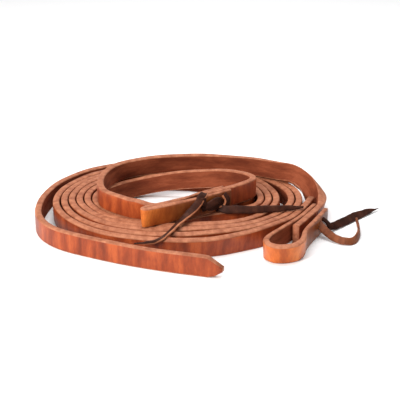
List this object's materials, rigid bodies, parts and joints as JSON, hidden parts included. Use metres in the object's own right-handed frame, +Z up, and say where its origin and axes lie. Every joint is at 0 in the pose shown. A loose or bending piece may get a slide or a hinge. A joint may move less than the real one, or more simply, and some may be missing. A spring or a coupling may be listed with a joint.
{
  "type": "split reins",
  "caption": "Leather split reins coiled on edge, each ending in a folded water loop tied shut with a latigo thong.",
  "frame": {"origin": "centre of the bounding box on the surface the coil rests on", "axes": "+Z up; +X towards the loop beside the coil and its tie; -Y towards the viewer, where the coil's free tip ends"},
  "size_m": [0.2856, 0.2358, 0.0323],
  "materials": {
    "rein_leather": "oiled, soft gloss",
    "loop_leather": "oiled, soft gloss",
    "tie_leather": "waxed, satin"
  },
  "bodies": {
    "root": {"rein_strap_left": "rein_leather", "rein_strap_right": "rein_leather", "water_loop_left": "loop_leather", "water_loop_right": "loop_leather", "latigo_tie_left": "tie_leather", "latigo_tie_right": "tie_leather"}
  },
  "joints": []
}
